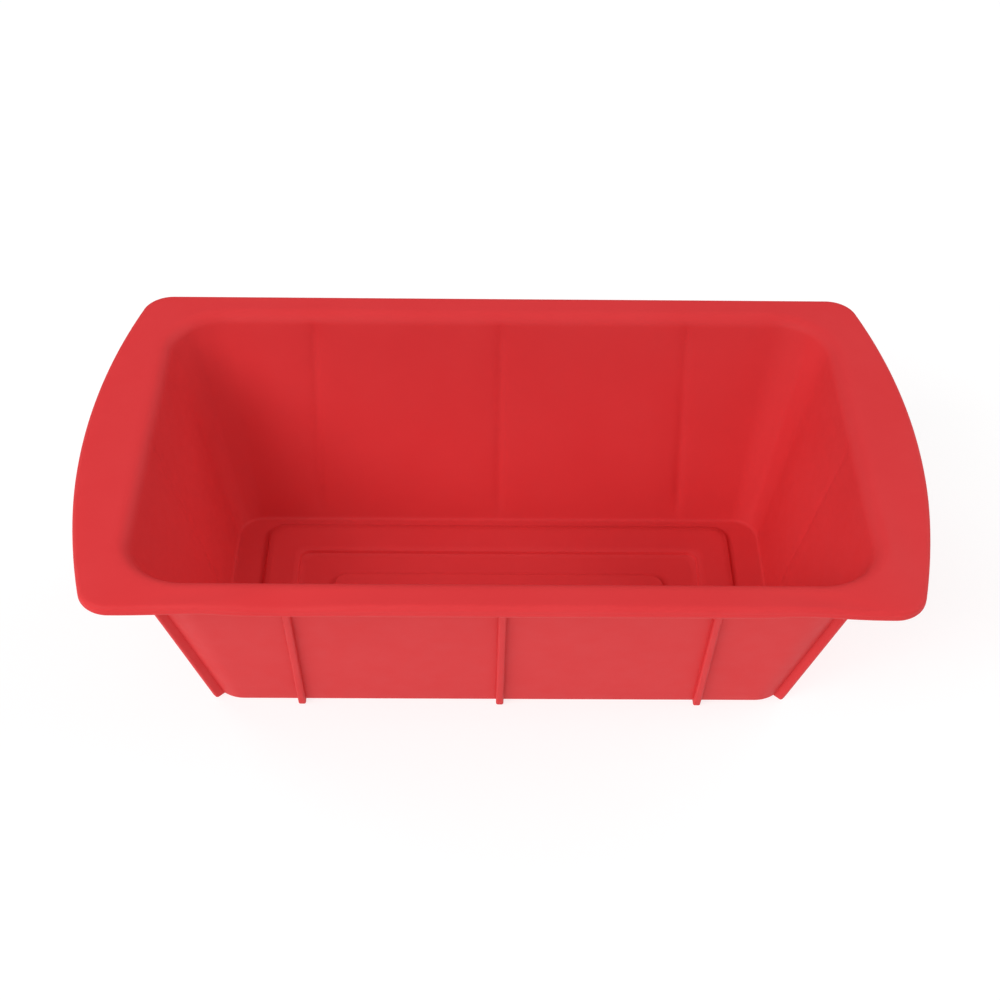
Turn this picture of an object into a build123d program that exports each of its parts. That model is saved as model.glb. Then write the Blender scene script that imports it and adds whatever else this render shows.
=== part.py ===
from build123d import *

import os

# Silicone loaf mould for soap, resin or cake, in millimetres.
#
# It is one flexible moulding: a tapered tub with a stepped floor, a flat rim whose bowed ends are
# the handles, and thin ribs outside that stiffen the walls. The moulding is modelled whole and
# then cut, face to face, into its regions, so that each is a simple closed solid.
#
# +X runs along the loaf, +Y across it and +Z up. The origin is the middle of the base.

# Rim
overall_length = 260.0  # from tip to tip of the bowed handles
rim_width = 150.0  # across the straight front and back edges
rim_thickness = 3.8
rim_corner_radius = 10.0
rim_edge_radius = 1.2
handle_bow = 11.2  # how far the middle of a handle's edge stands out past its corners
height = 74.5  # from the base to the top of the rim

# Tub, measured inside
handle_depth = 20.5  # from the middle of a handle's edge to the cavity
side_rim_depth = 11.0  # from the rim's straight edge to the cavity
end_wall_run = 18.5  # how far an end wall leans in on its way down to the floor
side_wall_run = 23.0
mouth_corner_radius = 17.5
floor_corner_radius = 9.0
wall = 2.0  # wall thickness, measured level
floor_thickness = 2.5

# Roundings where the walls meet the rim, the floor and the base
mouth_radius = 5.0
under_rim_radius = 2.0
cove_radius = 1.2
base_edge_radius = 1.2

# Floor relief: a raised frame around a level panel, and a plateau in the panel's middle
end_border = 10.9  # level floor between the frame and an end wall
side_border = 4.1
frame_end_width = 11.7
frame_side_width = 13.6
plateau_length_share = 0.82  # of the panel's length
plateau_width_share = 0.52  # of the panel's width
frame_corner_radius = 6.0
panel_corner_radius = 3.5
plateau_corner_radius = 5.0
relief_step = 1.2
relief_skin = 1.6  # level thickness of a step, between its upper and under sides

# Ribs outside
rib_thickness = 2.4
rib_height = 2.2  # how far a rib stands off its wall
corner_rib_height = 3.0
rib_tip_radius = 0.7
side_rib_count = 3
side_rib_margin = 18.5  # from an outer side rib to where the base's corner starts

# Overshoot of the tools that cut the moulding
margin = 5.0

under_rim = height - rim_thickness
cavity_half_length = overall_length / 2 - handle_depth
cavity_half_width = rim_width / 2 - side_rim_depth
floor_half_length = cavity_half_length - end_wall_run
floor_half_width = cavity_half_width - side_wall_run


def slant(at_floor, at_mouth, z):
    """A size of the cavity at height z, where it changes evenly from the floor to the mouth."""
    return at_floor + (at_mouth - at_floor) * (z - floor_thickness) / (height - floor_thickness)


def half_length(z):
    return slant(floor_half_length, cavity_half_length, z)


def half_width(z):
    return slant(floor_half_width, cavity_half_width, z)


def corner_radius(z):
    return slant(floor_corner_radius, mouth_corner_radius, z)


def straight_x(z):
    """Half of the straight stretch of a side wall at height z."""
    return half_length(z) - corner_radius(z)


def straight_y(z):
    """Half of the straight stretch of an end wall at height z."""
    return half_width(z) - corner_radius(z)


def rounded_outline(half_x, half_y, corner, offset, z):
    """A rounded rectangle at height z, grown outwards by offset."""
    return Pos(0, 0, z) * RectangleRounded(
        2 * (half_x + offset), 2 * (half_y + offset), corner + offset
    )


def tapered_block(low, high, offset):
    """The cavity's slanted shape between two heights, grown outwards by offset."""
    outlines = [
        rounded_outline(half_length(z), half_width(z), corner_radius(z), offset, z)
        for z in (low, high)
    ]
    return loft(outlines, ruled=True)


def rim_outline():
    """The rim from above: straight front and back, bowed ends, rounded corners."""
    tip_x = overall_length / 2
    corner_x = tip_x - handle_bow
    edge_y = rim_width / 2
    outline = [
        Line((-corner_x, edge_y), (corner_x, edge_y)),
        ThreePointArc((corner_x, edge_y), (tip_x, 0), (corner_x, -edge_y)),
        Line((corner_x, -edge_y), (-corner_x, -edge_y)),
        ThreePointArc((-corner_x, -edge_y), (-tip_x, 0), (-corner_x, edge_y)),
    ]
    face = make_face(outline)
    return fillet(face.vertices(), rim_corner_radius)


def level_face(body, z):
    """The face of body that lies level at height z."""
    return body.faces().filter_by(Axis.Z).filter_by_position(Axis.Z, z - 0.01, z + 0.01)[0]


def shell():
    """The tub and its rim, with every rounding but without the relief and the ribs."""
    rim = Pos(0, 0, under_rim) * extrude(rim_outline(), rim_thickness)
    body = tapered_block(0, height, wall) + rim
    body -= tapered_block(floor_thickness, height + margin, 0)
    body = fillet(level_face(body, under_rim).inner_wires()[0].edges(), under_rim_radius)
    body = fillet(level_face(body, height).inner_wires()[0].edges(), mouth_radius)
    body = fillet(level_face(body, floor_thickness).outer_wire().edges(), cove_radius)
    body = fillet(level_face(body, 0).outer_wire().edges(), base_edge_radius)
    upper_edge = level_face(body, height).outer_wire().edges()
    lower_edge = level_face(body, under_rim).outer_wire().edges()
    return fillet(upper_edge + lower_edge, rim_edge_radius)


def relief(offset, low, high):
    """The raised frame and plateau as blocks between two heights, grown sideways by offset."""
    frame_x = floor_half_length - end_border
    frame_y = floor_half_width - side_border
    panel_x = frame_x - frame_end_width
    panel_y = frame_y - frame_side_width
    plateau_x = plateau_length_share * panel_x
    plateau_y = plateau_width_share * panel_y
    frame = rounded_outline(frame_x, frame_y, frame_corner_radius, offset, low)
    panel = rounded_outline(panel_x, panel_y, panel_corner_radius, -offset, low)
    middle = rounded_outline(plateau_x, plateau_y, plateau_corner_radius, offset, low)
    return extrude(frame - panel + middle, high - low)


def moulding():
    """The whole mould without its ribs."""
    raised = relief(0, floor_thickness / 2, floor_thickness + relief_step)
    hollow = relief(-relief_skin, -margin, relief_step)
    return shell() + raised - hollow


def wall_tool(straight, reach):
    """A block along Y that holds two facing walls between their corners."""
    low, high = -margin, height + margin
    outline = Polyline(
        (-straight(low), low),
        (straight(low), low),
        (straight(high), high),
        (-straight(high), high),
        close=True,
    )
    return extrude(Plane.XZ * make_face(outline), reach, both=True)


def floor_tool():
    """A block that holds the floor up to where the cove starts."""
    outline = rounded_outline(
        floor_half_length, floor_half_width, floor_corner_radius, -cove_radius, -margin
    )
    return extrude(outline, under_rim)


def rim_tool():
    """A block that holds everything above the underside of the rim."""
    outline = Pos(0, 0, under_rim) * Rectangle(overall_length + margin, rim_width + margin)
    return extrude(outline, rim_thickness + margin)


def name_of_side(solid):
    return "front" if solid.center().Y < 0 else "back"


def name_of_end(solid):
    return "left" if solid.center().X < 0 else "right"


def regions_of(body):
    """The moulding's regions by name. They meet face to face and fill the moulding."""
    rim = body & rim_tool()
    tub = body - rim_tool()
    walls = tub - floor_tool()
    side_walls = wall_tool(straight_x, rim_width)
    end_walls = Rot(0, 0, 90) * wall_tool(straight_y, overall_length)
    rim_strips = wall_tool(lambda z: straight_x(height), rim_width)

    regions = {"floor": tub & floor_tool()}
    for solid in (walls & side_walls).solids():
        regions[f"{name_of_side(solid)}_wall"] = solid
    for solid in (walls & end_walls).solids():
        regions[f"{name_of_end(solid)}_end_wall"] = solid
    for solid in (walls - side_walls - end_walls).solids():
        regions[f"{name_of_side(solid)}_{name_of_end(solid)}_corner"] = solid
    for solid in (rim & rim_strips).solids():
        regions[f"{name_of_side(solid)}_rim"] = solid
    for solid in (rim - rim_strips).solids():
        regions[f"{name_of_end(solid)}_handle"] = solid
    return regions


def rib(body, outer_face, direction, reach):
    """A rib from the base up to the underside of the rim. outer_face gives the point of its
    wall's outer face at a height, direction is the way it stands out, in degrees, and reach is
    how far it stands off the wall."""
    root = wall / 2
    outline = Pos((reach - root) / 2, 0) * RectangleRounded(root + reach, rib_thickness, rib_tip_radius)
    sections = [
        Pos(*outer_face(z), z) * Rot(0, 0, direction) * outline
        for z in (0, height - rim_thickness / 2)
    ]
    blade = loft(sections, ruled=True) - body
    return blade.solids().sort_by(SortBy.VOLUME)[-1]


def ribs_of(body):
    """The ribs by name: some on each side wall, one on each end wall and one on each corner."""
    ribs = {}
    outer_x = straight_x(0) - side_rib_margin
    spacing = 2 * outer_x / (side_rib_count - 1)
    for side, y_sign in (("front", -1), ("back", 1)):
        for i in range(side_rib_count):
            x = i * spacing - outer_x
            place = lambda z: (x, y_sign * (half_width(z) + wall))
            ribs[f"{side}_rib_{i + 1}"] = rib(body, place, 90 * y_sign, rib_height)
    for end, x_sign in (("left", -1), ("right", 1)):
        place = lambda z: (x_sign * (half_length(z) + wall), 0)
        ribs[f"{end}_end_rib"] = rib(body, place, 90 - 90 * x_sign, rib_height)
        for side, y_sign in (("front", -1), ("back", 1)):
            direction = y_sign * (90 - 45 * x_sign)
            place = lambda z: corner_point(x_sign, y_sign, z)
            ribs[f"{side}_{end}_corner_rib"] = rib(body, place, direction, corner_rib_height)
    return ribs


def corner_point(x_sign, y_sign, z):
    """The middle of a corner's outer face at height z."""
    out = (corner_radius(z) + wall) / 2**0.5
    return x_sign * (straight_x(z) + out), y_sign * (straight_y(z) + out)


def main():
    body = moulding()
    os.makedirs("parts", exist_ok=True)
    for name, solid in (regions_of(body) | ribs_of(body)).items():
        solid.label = name
        export_step(solid, f"parts/{name}.step")


main()
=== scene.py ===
import math
from collections import namedtuple

import bmesh
import bpy
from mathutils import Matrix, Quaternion, Vector, noise


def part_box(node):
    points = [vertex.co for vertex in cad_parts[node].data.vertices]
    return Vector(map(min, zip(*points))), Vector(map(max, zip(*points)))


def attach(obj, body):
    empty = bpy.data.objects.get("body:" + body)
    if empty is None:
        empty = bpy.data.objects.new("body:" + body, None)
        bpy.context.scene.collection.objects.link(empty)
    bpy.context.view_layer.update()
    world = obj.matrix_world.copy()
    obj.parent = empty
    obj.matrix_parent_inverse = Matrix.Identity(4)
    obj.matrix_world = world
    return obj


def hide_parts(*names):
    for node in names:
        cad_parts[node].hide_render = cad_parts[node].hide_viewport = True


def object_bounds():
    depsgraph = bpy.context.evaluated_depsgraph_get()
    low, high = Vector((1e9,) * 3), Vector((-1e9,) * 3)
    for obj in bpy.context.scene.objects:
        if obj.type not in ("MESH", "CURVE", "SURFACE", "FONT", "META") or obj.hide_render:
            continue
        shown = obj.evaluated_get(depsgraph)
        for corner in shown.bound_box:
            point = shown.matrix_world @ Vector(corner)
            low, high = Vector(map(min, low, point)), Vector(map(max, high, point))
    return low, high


# Silicone loaf mould, in metres, in the frame of the CAD model: +X along the loaf, +Y towards the
# back, +Z up, with the origin in the middle of the base.

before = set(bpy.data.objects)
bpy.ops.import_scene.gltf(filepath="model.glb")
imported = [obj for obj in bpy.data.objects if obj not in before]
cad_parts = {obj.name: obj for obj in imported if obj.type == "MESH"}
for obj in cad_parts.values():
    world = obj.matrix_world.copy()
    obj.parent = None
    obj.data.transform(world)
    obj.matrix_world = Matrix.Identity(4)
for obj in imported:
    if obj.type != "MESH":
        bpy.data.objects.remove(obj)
cad_low, cad_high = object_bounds()

MM = 0.001

# Rim
half_overall = cad_high.x
rim_half_width = cad_high.y
top = cad_high.z
under_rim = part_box("front_rim")[0].z
rim_corner = 10.0 * MM
rim_edge = 1.4 * MM
handle_bow = 11.2 * MM
handle_depth = 20.5 * MM
side_rim_depth = 11.0 * MM

# Tub
wall = 2.0 * MM
floor_top = 2.5 * MM
end_wall_run = 18.5 * MM
side_wall_run = 23.0 * MM
mouth_half_x = half_overall - handle_depth
mouth_half_y = rim_half_width - side_rim_depth
floor_half_x = mouth_half_x - end_wall_run
floor_half_y = mouth_half_y - side_wall_run
mouth_corner = 17.5 * MM
floor_corner = 9.0 * MM
mouth_radius = 5.0 * MM
under_rim_radius = 2.0 * MM
cove_radius = 1.2 * MM
base_edge_radius = 1.2 * MM

# Relief of the floor: a raised frame round a level panel, which has a raised plateau in its middle
relief_step = 1.2 * MM
relief_skin = 1.6 * MM
step_width = 0.5 * MM
end_border = 10.9 * MM
side_border = 4.1 * MM
frame_end_width = 11.7 * MM
frame_side_width = 13.6 * MM
plateau_length_share = 0.82
plateau_width_share = 0.52
frame_half = (floor_half_x - end_border, floor_half_y - side_border)
panel_half = (frame_half[0] - frame_end_width, frame_half[1] - frame_side_width)
plateau_half = (plateau_length_share * panel_half[0], plateau_width_share * panel_half[1])
frame_corner = 6.0 * MM
panel_corner = 3.5 * MM
plateau_corner = 5.0 * MM

# Ribs
rib_thickness = 2.4 * MM
rib_height = 2.2 * MM
corner_rib_height = 3.0 * MM
rib_tip = 0.7 * MM
rib_foot_radius = 0.35 * MM
rib_foot_angles = (0.0, 0.5, 1.0, math.pi / 2)
rib_head_in_rim = 1.2 * MM

# Marks inside the tub: its walls sink a little in line with each rib
sink_depth = 0.50 * MM
sink_width = 1.5 * MM
broad_sink_depth = 0.40 * MM
broad_sink_width = 5.0 * MM
corner_sink_depth = 0.65 * MM
corner_sink_width = 2.2 * MM
end_sink_share = 0.55
sink_fade = 9.0 * MM

# Marks of the front rim: its upper edge is pressed down at one place, its lower edge hangs a little
# along the middle, and its two corners droop
press_x = -62.0 * MM
press_depth = 1.3 * MM
press_width = 15.0 * MM
front_reach = 5.0 * MM
hang_depth = 0.9 * MM
hang_half_x = 88.0 * MM
left_droop = 0.8 * MM
right_droop = 1.4 * MM
droop_start_x = 80.0 * MM
droop_run_x = 30.0 * MM
droop_start_y = 20.0 * MM
droop_run_y = 40.0 * MM

# Parting line round the edge of the rim
parting_depth = 0.10 * MM
parting_half = 0.22 * MM

# Unevenness of the soft moulding: it grows from the base up, softness_gain times as fast as the
# height, until it is full, and a point sinks by up to sag_share of the most that it moves inwards
softness = 0.16 * MM
softness_scale = 15.0
softness_gain = 1.6
sag_share = 0.6
sag_offset = Vector((7.3, 1.9, 4.4))

# Mesh density: the cells along the sides, and the rings over each stretch of the section
coarse_cell = 2.5 * MM
fine_cell = 0.75 * MM
fine_reach = 4.8 * MM
corner_cells = 18
border_rings = 5
cove_rings = 6
inner_wall_rings = 22
mouth_rings = 9
rim_top_rings = 8
rim_underside_rings = 6
under_rim_rings = 6
outer_wall_rings = 16
base_edge_rings = 5
base_border_rings = 4

# Silicone
red_deep = (0.69, 0.038, 0.042, 1)
red_pale = (0.70, 0.042, 0.046, 1)
mottle_scale = 45.0
haze_scale = 160.0
haze_roughness = (0.52, 0.60)
silicone_specular = 0.12
grain_scale = 2600.0
grain_depth = 0.03 * MM
grain_strength = 0.25

# Studio, with a floor that glows softly
studio_half = 30.0
studio_drop = 0.1 * MM
studio_grey = 0.28
studio_glow = 0.78
world_strength = 0.2

# Camera
camera_place = (-7.64 * MM, -434.1 * MM, 434.6 * MM)
camera_pitch = 0.7271
camera_yaw = 0.017
camera_roll = 0.017
camera_lens = 65.2

Column = namedtuple("Column", "fx fy angle")


def mix(a, b, t):
    return a + (b - a) * t


def smooth(t):
    t = min(max(t, 0.0), 1.0)
    return t * t * (3 - 2 * t)


def at_height(point, z):
    return Vector((point.x, point.y, z))


# ---- Outlines. Every ring of the moulding's mesh has one point for each column. ----


def make_marks(ribs, mouth_half, floor_half):
    """Places from -1 to 1 along a side that is longer at the mouth than at the floor. They are
    symmetric, and closer together where its ribs stand at some height."""
    narrowing = floor_half / mouth_half
    place = -mouth_half
    places = [place]
    while place < 0:
        at_floor = place * narrowing
        near = any(abs(x - end) < fine_reach for x in ribs for end in (place, at_floor))
        crossed = any(place < x < at_floor for x in ribs)
        place += fine_cell if near or crossed else coarse_cell
        places.append(place)
    marks = [(p - place) / (mouth_half + place) for p in places]
    return marks + [-m for m in reversed(marks[:-1])]


def make_columns():
    """The columns, anticlockwise from the front of the right end."""
    sides = (
        (end_marks, lambda u: (1, u)),
        (side_marks, lambda u: (-u, 1)),
        (end_marks, lambda u: (-1, -u)),
        (side_marks, lambda u: (u, -1)),
    )
    made = []
    for i, (marks, place) in enumerate(sides):
        angle = i * math.pi / 2
        for mark in marks[:-1]:
            made.append(Column(*place(mark), angle))
        for k in range(corner_cells):
            made.append(Column(*place(1), angle + math.pi / 2 * k / corner_cells))
    return made


side_ribs = [sum(corner.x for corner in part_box(f"front_rib_{i}")) / 2 for i in (1, 2, 3)]
side_marks = make_marks(side_ribs, mouth_half_x - mouth_corner, floor_half_x - floor_corner)
end_marks = make_marks([0.0], mouth_half_y - mouth_corner, floor_half_y - floor_corner)
columns = make_columns()


def normal(column):
    return Vector((math.cos(column.angle), math.sin(column.angle)))


def rounded(column, half_x, half_y, corner):
    """A point of a rounded rectangle."""
    middle = Vector((column.fx * (half_x - corner), column.fy * (half_y - corner)))
    return middle + normal(column) * corner


def wall_point(column, z, out=0.0):
    """A point of the tub's inner wall at height z, moved outwards by out."""
    t = (z - floor_top) / (top - floor_top)
    half_x = mix(floor_half_x, mouth_half_x, t)
    half_y = mix(floor_half_y, mouth_half_y, t)
    corner = mix(floor_corner, mouth_corner, t)
    return at_height(rounded(column, half_x, half_y, corner) + normal(column) * out, z)


def wall_slope(column):
    """How fast the wall moves outwards as it rises."""
    return (wall_point(column, top) - wall_point(column, 0)).xy.dot(normal(column)) / top


def rim_point(column, inset, z):
    """A point of the rim's outline, moved inwards by inset."""
    arc = (rim_half_width**2 + handle_bow**2) / (2 * handle_bow)
    arc_x = half_overall - arc
    corner_y = rim_half_width - rim_corner
    turn = math.asin(corner_y / (arc - rim_corner))
    corner_x = arc_x + (arc - rim_corner) * math.cos(turn)
    if abs(column.fy) < 1:
        a = turn * column.fy
        r = arc - inset
        return Vector((column.fx * (arc_x + r * math.cos(a)), r * math.sin(a), z))
    if abs(column.fx) < 1:
        return Vector((column.fx * corner_x, column.fy * (rim_half_width - inset), z))
    steepness = abs(math.asin(math.sin(column.angle))) / (math.pi / 2)
    a = mix(turn, math.pi / 2, steepness)
    r = rim_corner - inset
    x = column.fx * (corner_x + r * math.cos(a))
    y = column.fy * (corner_y + r * math.sin(a))
    return Vector((x, y, z))


# ---- The moulding's rings, from the floor's middle over the rim to the base's middle ----


def rounding(z, out, radius, face, side, steps, falling=False):
    """The rings of the rounding where the wall, moved outwards by out, meets the level of z. face is
    1 inside the tub and -1 outside. side is 1 where the wall ends below that level, and -1 where it
    starts above it. The rings run from the wall to the level, or back if falling."""

    def place(column, t):
        slope = wall_slope(column)
        reach = radius * (math.sqrt(1 + slope**2) - slope)
        angle = mix(math.atan2(face * slope, -face), face * math.pi / 2, t)
        d = side * (reach + face * radius * math.cos(angle))
        dz = side * (-radius + face * radius * math.sin(angle))
        return wall_point(column, z + dz, out + d - slope * dz)

    order = [k / steps for k in range(steps + 1)]
    if falling:
        order.reverse()
    return [[place(column, t) for column in columns] for t in order]


def between(first, last, steps):
    """The rings evenly between two rings, without the two."""
    return [[a.lerp(b, k / steps) for a, b in zip(first, last)] for k in range(1, steps)]


def step_rings(half, corner, z_inner, z_outer, steps=7):
    """The rings over a step of the relief, from its inner side to its outer side."""
    rings = []
    for k in range(steps + 1):
        out = step_width * (k / steps - 0.5)
        z = mix(z_inner, z_outer, smooth(k / steps))
        outline = [rounded(c, half[0] + out, half[1] + out, corner + out) for c in columns]
        rings.append([at_height(point, z) for point in outline])
    return rings


def grown(half, offset):
    return half[0] + offset, half[1] + offset


def relief_rings(level, offset, gap_steps=5):
    """The rings of the floor's relief, from its plateau to its border."""
    raised = level + relief_step
    rings = step_rings(grown(plateau_half, offset), plateau_corner + offset, raised, level)
    for half, corner, grow, inner, outer in (
        (panel_half, panel_corner, -offset, level, raised),
        (frame_half, frame_corner, offset, raised, level),
    ):
        step = step_rings(grown(half, grow), corner + grow, inner, outer)
        rings += between(rings[-1], step[0], gap_steps) + step
    return rings


def rim_edge_rings(steps=7):
    """The rings over the rounded edge of the rim, from its top to its underside, with the fine
    groove of the parting line half way."""
    middle = (top + under_rim) / 2
    levels = []
    for z, start in ((top - rim_edge, math.pi / 2), (under_rim + rim_edge, 0.0)):
        for k in range(steps + 1):
            a = start - math.pi / 2 * k / steps
            levels.append((rim_edge * (1 - math.cos(a)), z + rim_edge * math.sin(a)))
        if start:
            for inset, rise in ((0.0, parting_half), (parting_depth, 0.0), (0.0, -parting_half)):
                levels.append((inset, middle + rise))
    return [[rim_point(c, inset, z) for c in columns] for inset, z in levels]


# ---- Marks of the moulding ----


def bell(distance, width):
    return math.exp(-((distance / width) ** 2))


def sunk(column, point):
    """A point of the inner wall, sunk into the wall if a rib stands outside it."""
    weight = smooth((point.z - floor_top) / sink_fade) * smooth((top - point.z) / sink_fade)
    if abs(column.fx) == abs(column.fy):
        corner = mix(floor_corner, mouth_corner, (point.z - floor_top) / (top - floor_top))
        gap = (column.angle % (math.pi / 2) - math.pi / 4) * corner
        depth = corner_sink_depth * bell(gap, corner_sink_width)
    else:
        on_side = abs(column.fx) < 1
        gap = min(abs(point.x - x) for x in side_ribs) if on_side else abs(point.y)
        depth = sink_depth * bell(gap, sink_width) + broad_sink_depth * bell(gap, broad_sink_width)
        depth *= 1 if on_side else end_sink_share
    return point + normal(column).to_3d() * depth * weight


def dented(point):
    """A point of the rim, moved down where the front edge is pressed in or hangs, and towards its
    front corners, which droop."""
    rise = min(max((point.z - under_rim) / (top - under_rim), 0.0), 1.0)
    near = smooth(1 - (point.y + rim_half_width) / front_reach)
    press = press_depth * bell(point.x - press_x, press_width) * rise
    hang = hang_depth * smooth((hang_half_x - abs(point.x)) / press_width) * (1 - rise)
    along = smooth((abs(point.x) - droop_start_x) / droop_run_x)
    across = smooth((-point.y - droop_start_y) / droop_run_y)
    droop = (right_droop if point.x > 0 else left_droop) * (along * across)
    return at_height(point, point.z - near * (press + hang) - droop)


def soften(point, outward):
    """Moves a point a little inwards and down, as soft silicone is never quite straight. The base
    and the floor stay level."""
    weight = smooth(point.z / top * softness_gain)
    inwards = 0.5 + 0.5 * noise.noise(point * softness_scale)
    down = 0.5 + 0.5 * noise.noise(point * softness_scale + sag_offset)
    moved = point - outward.to_3d() * softness * weight * inwards
    moved.z -= softness * sag_share * weight * down
    return moved


# ---- The whole section ----


def moulding_rings():
    """All rings of the moulding, from the floor's plateau to the underside's."""
    floor = relief_rings(floor_top, 0.0)
    cove = rounding(floor_top, 0, cove_radius, 1, -1, cove_rings, falling=True)
    mouth = rounding(top, 0, mouth_radius, 1, 1, mouth_rings)
    edge = [[dented(p) for p in ring] for ring in rim_edge_rings()]
    under = rounding(under_rim, wall, under_rim_radius, -1, 1, under_rim_rings, falling=True)
    base = rounding(0, wall, base_edge_radius, -1, -1, base_edge_rings)
    underside = relief_rings(0.0, -relief_skin)[::-1]
    inside = between(cove[-1], mouth[0], inner_wall_rings) + mouth
    inside = [[sunk(c, p) for c, p in zip(columns, ring)] for ring in inside]
    rings = floor + between(floor[-1], cove[0], border_rings) + cove + inside
    for steps, new in (
        (rim_top_rings, edge),
        (rim_underside_rings, under),
        (outer_wall_rings, base),
        (base_border_rings, underside),
    ):
        rings += between(rings[-1], new[0], steps) + new
    return rings


# ---- Mesh helpers ----


def make_object(name, bm):
    for face in bm.faces:
        face.smooth = True
    bmesh.ops.recalc_face_normals(bm, faces=bm.faces)
    mesh = bpy.data.meshes.new(name)
    bm.to_mesh(mesh)
    bm.free()
    made = bpy.data.objects.new(name, mesh)
    bpy.context.scene.collection.objects.link(made)
    return made


def join_rings(bm, rings):
    """Faces between each ring of vertices and the next."""
    for low, high in zip(rings, rings[1:]):
        for i in range(len(low)):
            j = (i + 1) % len(low)
            bm.faces.new((low[i], low[j], high[j], high[i]))


def fill_ring(bm, ring):
    """Closes a ring of the moulding with a grid, cornered at the middles of its corner arcs."""
    width = len(end_marks) - 1 + corner_cells
    length = len(side_marks) - 1 + corner_cells
    start = len(ring) - corner_cells // 2
    turned = [ring[(start + i) % len(ring)] for i in range(len(ring) + 1)]
    right = turned[: width + 1]
    back = turned[width : width + length + 1][::-1]
    left = turned[width + length : 2 * width + length + 1][::-1]
    front = turned[2 * width + length :]
    rows = [front]
    for j in range(1, width):
        v = j / width
        row = [left[j]]
        for i in range(1, length):
            u = i / length
            sides = mix(left[j].co, right[j].co, u) + mix(front[i].co, back[i].co, v)
            corners = mix(mix(front[0].co, front[-1].co, u), mix(back[0].co, back[-1].co, u), v)
            row.append(bm.verts.new(sides - corners))
        rows.append(row + [right[j]])
    rows.append(back)
    for low, high in zip(rows, rows[1:]):
        for i in range(length):
            bm.faces.new((low[i], low[i + 1], high[i + 1], high[i]))


def build_moulding():
    bm = bmesh.new()
    rings = []
    for points in moulding_rings():
        rings.append([bm.verts.new(soften(p, normal(c))) for c, p in zip(columns, points)])
    join_rings(bm, rings)
    fill_ring(bm, rings[0])
    fill_ring(bm, rings[-1])
    return make_object("moulding", bm)


# ---- Ribs ----


def blade_outline(reach, steps=4):
    """A rib's section as (outwards, sideways) points, from wall-deep to its rounded tip."""
    half = rib_thickness / 2
    points = [(-wall / 2, -half), (0.0, -half)]
    for side, start in ((-1, -math.pi / 2), (1, 0.0)):
        for k in range(steps + 1):
            a = start + math.pi / 2 * k / steps
            out = reach - rib_tip + rib_tip * math.cos(a)
            points.append((out, side * (half - rib_tip) + rib_tip * math.sin(a)))
    return points + [(0.0, half), (-wall / 2, half)]


def build_rib(node, place, outward, reach, steps=30):
    """A rib that follows place, a function of height, and stands out along outward."""
    bm = bmesh.new()
    sideways = Vector((-outward.y, outward.x))
    foot = rib_foot_radius
    head = under_rim + rib_head_in_rim
    levels = [(foot * (1 - math.cos(a)), foot * (1 - math.sin(a))) for a in rib_foot_angles]
    levels += [(mix(foot, head, k / steps), 0.0) for k in range(1, steps + 1)]
    rings = []
    for z, inset in levels:
        ring = []
        shrink = 1 - inset / (rib_thickness / 2)
        for out, side in blade_outline(reach):
            out = min(out, reach - inset)
            p = place(z).xy + outward * out + sideways * side * shrink
            ring.append(bm.verts.new(soften(at_height(p, z), outward)))
        rings.append(ring)
    join_rings(bm, rings)
    bm.faces.new(rings[0])
    bm.faces.new(rings[-1])
    return make_object(node + "_skin", bm)


def outer_line(face, shift_x=0.0):
    """The tub's outer wall at a column, shifted along the loaf, as a function of height."""
    return lambda z: wall_point(face, z, wall) + Vector((shift_x, 0, 0))


def build_ribs():
    """Each rib's node name and piece, in the places of the CAD ribs."""
    made = {}
    for side, y_sign in (("front", -1), ("back", 1)):
        face = Column(0, y_sign, y_sign * math.pi / 2)
        for i in (1, 2, 3):
            node = f"{side}_rib_{i}"
            low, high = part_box(node)
            place = outer_line(face, (low.x + high.x) / 2)
            made[node] = build_rib(node, place, normal(face), rib_height)
    for end, x_sign in (("left", -1), ("right", 1)):
        face = Column(x_sign, 0, math.pi * (x_sign < 0))
        node = f"{end}_end_rib"
        made[node] = build_rib(node, outer_line(face), normal(face), rib_height)
        for side, y_sign in (("front", -1), ("back", 1)):
            face = Column(x_sign, y_sign, math.atan2(y_sign, x_sign))
            node = f"{side}_{end}_corner_rib"
            made[node] = build_rib(node, outer_line(face), normal(face), corner_rib_height)
    return made


# ---- Materials ----


def new_material(name):
    material = bpy.data.materials.new(name)
    material.use_nodes = True
    return material, material.node_tree, material.node_tree.nodes["Principled BSDF"]


def add_noise(tree, coords, scale, detail):
    node = tree.nodes.new("ShaderNodeTexNoise")
    node.inputs["Scale"].default_value = scale
    node.inputs["Detail"].default_value = detail
    node.inputs["Roughness"].default_value = 0.5
    tree.links.new(coords, node.inputs["Vector"])
    return node.outputs["Fac"]


def map_range(tree, value, low, high, from_low=0.3, from_high=0.7):
    node = tree.nodes.new("ShaderNodeMapRange")
    node.inputs["From Min"].default_value = from_low
    node.inputs["From Max"].default_value = from_high
    node.inputs["To Min"].default_value = low
    node.inputs["To Max"].default_value = high
    tree.links.new(value, node.inputs["Value"])
    return node.outputs["Result"]


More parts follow.
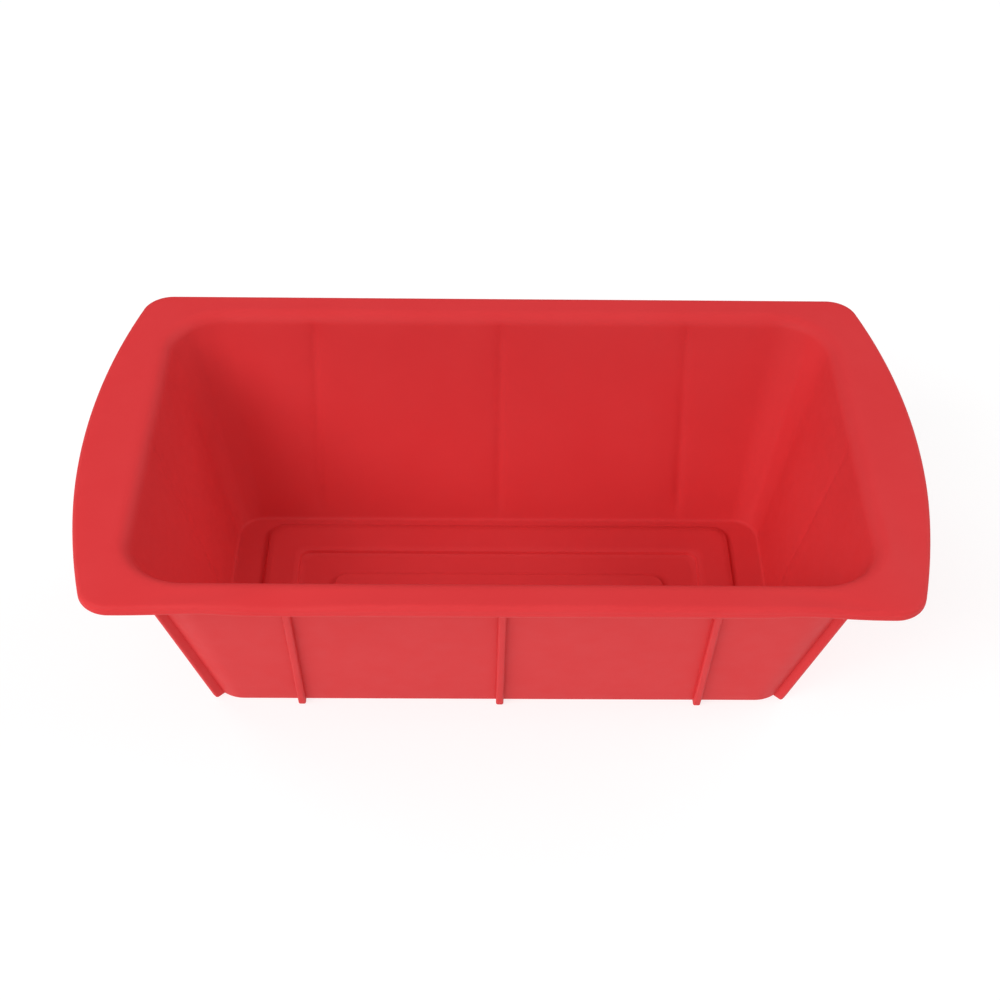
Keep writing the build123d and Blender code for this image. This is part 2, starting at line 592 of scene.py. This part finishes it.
def silicone():
    """Red silicone with a satin, faintly mottled skin."""
    material, tree, shader = new_material("red_silicone")
    coords = tree.nodes.new("ShaderNodeTexCoord").outputs["Object"]
    mottle = add_noise(tree, coords, mottle_scale, 3.0)
    ramp = tree.nodes.new("ShaderNodeMix")
    ramp.data_type = "RGBA"
    ramp.inputs["A"].default_value = red_deep
    ramp.inputs["B"].default_value = red_pale
    tree.links.new(map_range(tree, mottle, 0, 1), ramp.inputs["Factor"])
    tree.links.new(ramp.outputs["Result"], shader.inputs["Base Color"])
    haze = add_noise(tree, coords, haze_scale, 4.0)
    tree.links.new(map_range(tree, haze, *haze_roughness), shader.inputs["Roughness"])
    shader.inputs["Specular IOR Level"].default_value = silicone_specular
    grain = add_noise(tree, coords, grain_scale, 2.0)
    bump = tree.nodes.new("ShaderNodeBump")
    bump.inputs["Strength"].default_value = grain_strength
    bump.inputs["Distance"].default_value = grain_depth
    tree.links.new(grain, bump.inputs["Height"])
    tree.links.new(bump.outputs["Normal"], shader.inputs["Normal"])
    return material


def floor_material():
    """A dull floor that glows, so that it shows white with a faint shadow."""
    material, tree, shader = new_material("pale_floor")
    shader.inputs["Base Color"].default_value = (studio_grey, studio_grey, studio_grey, 1)
    shader.inputs["Roughness"].default_value = 0.9
    shader.inputs["Specular IOR Level"].default_value = 0.0
    shader.inputs["Emission Color"].default_value = (1, 1, 1, 1)
    shader.inputs["Emission Strength"].default_value = studio_glow
    return material


# ---- Stage ----


def build_floor():
    bm = bmesh.new()
    bmesh.ops.create_grid(bm, x_segments=2, y_segments=2, size=studio_half)
    floor = make_object("studio_floor", bm)
    floor.location.z = -studio_drop
    floor.data.materials.append(floor_material())


def add_soft_light(name, azimuth, elevation, distance, size, power):
    """A round light that faces the mould. Its direction is in degrees, from +X towards +Y and up."""
    data = bpy.data.lights.new(name, "AREA")
    data.shape = "DISK"
    data.size = size
    data.energy = power
    light = bpy.data.objects.new(name, data)
    turn, rise = math.radians(azimuth), math.radians(elevation)
    towards = Vector((math.cos(rise) * math.cos(turn), math.cos(rise) * math.sin(turn), math.sin(rise)))
    light.location = towards * distance
    light.rotation_mode = "QUATERNION"
    light.rotation_quaternion = towards.to_track_quat("Z", "Y")
    bpy.context.scene.collection.objects.link(light)


def build_lights():
    world = bpy.data.worlds.new("studio")
    bpy.context.scene.world = world
    world.use_nodes = True
    background = world.node_tree.nodes["Background"]
    background.inputs["Color"].default_value = (1, 1, 1, 1)
    background.inputs["Strength"].default_value = world_strength
    add_soft_light("key", 215, 38, 1.9, 1.0, 12.5)
    add_soft_light("front_left", 240, 35, 1.9, 1.0, 8.0)
    add_soft_light("high_left", 240, 60, 1.9, 1.0, 3.5)
    add_soft_light("back_left", 150, 35, 1.9, 1.0, 6.0)
    add_soft_light("front", 275, 35, 2.6, 1.3, 5.0)
    add_soft_light("right", 0, 35, 2.6, 1.3, 18.0)
    add_soft_light("back_right", 40, 35, 2.6, 1.3, 12.0)


def build_camera():
    data = bpy.data.cameras.new("camera")
    data.lens = camera_lens
    data.sensor_width = 36.0
    camera = bpy.data.objects.new("camera", data)
    camera.location = camera_place
    forward = Vector((
        math.sin(camera_yaw) * math.cos(camera_pitch),
        math.cos(camera_yaw) * math.cos(camera_pitch),
        -math.sin(camera_pitch),
    ))
    camera.rotation_mode = "QUATERNION"
    camera.rotation_quaternion = forward.to_track_quat("-Z", "Y") @ Quaternion((0, 0, 1), camera_roll)
    bpy.context.scene.collection.objects.link(camera)
    bpy.context.scene.camera = camera


# ---- The scene ----

bpy.context.scene.view_settings.view_transform = "Standard"
red = silicone()

moulding = build_moulding()
ribs = build_ribs()
moulding_nodes = [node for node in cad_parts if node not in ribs]
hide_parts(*moulding_nodes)
for node, rib in ribs.items():
    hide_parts(node)
for piece in (moulding, *ribs.values()):
    piece.data.materials.append(red)
    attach(piece, "root")

build_floor()
build_lights()
build_camera()
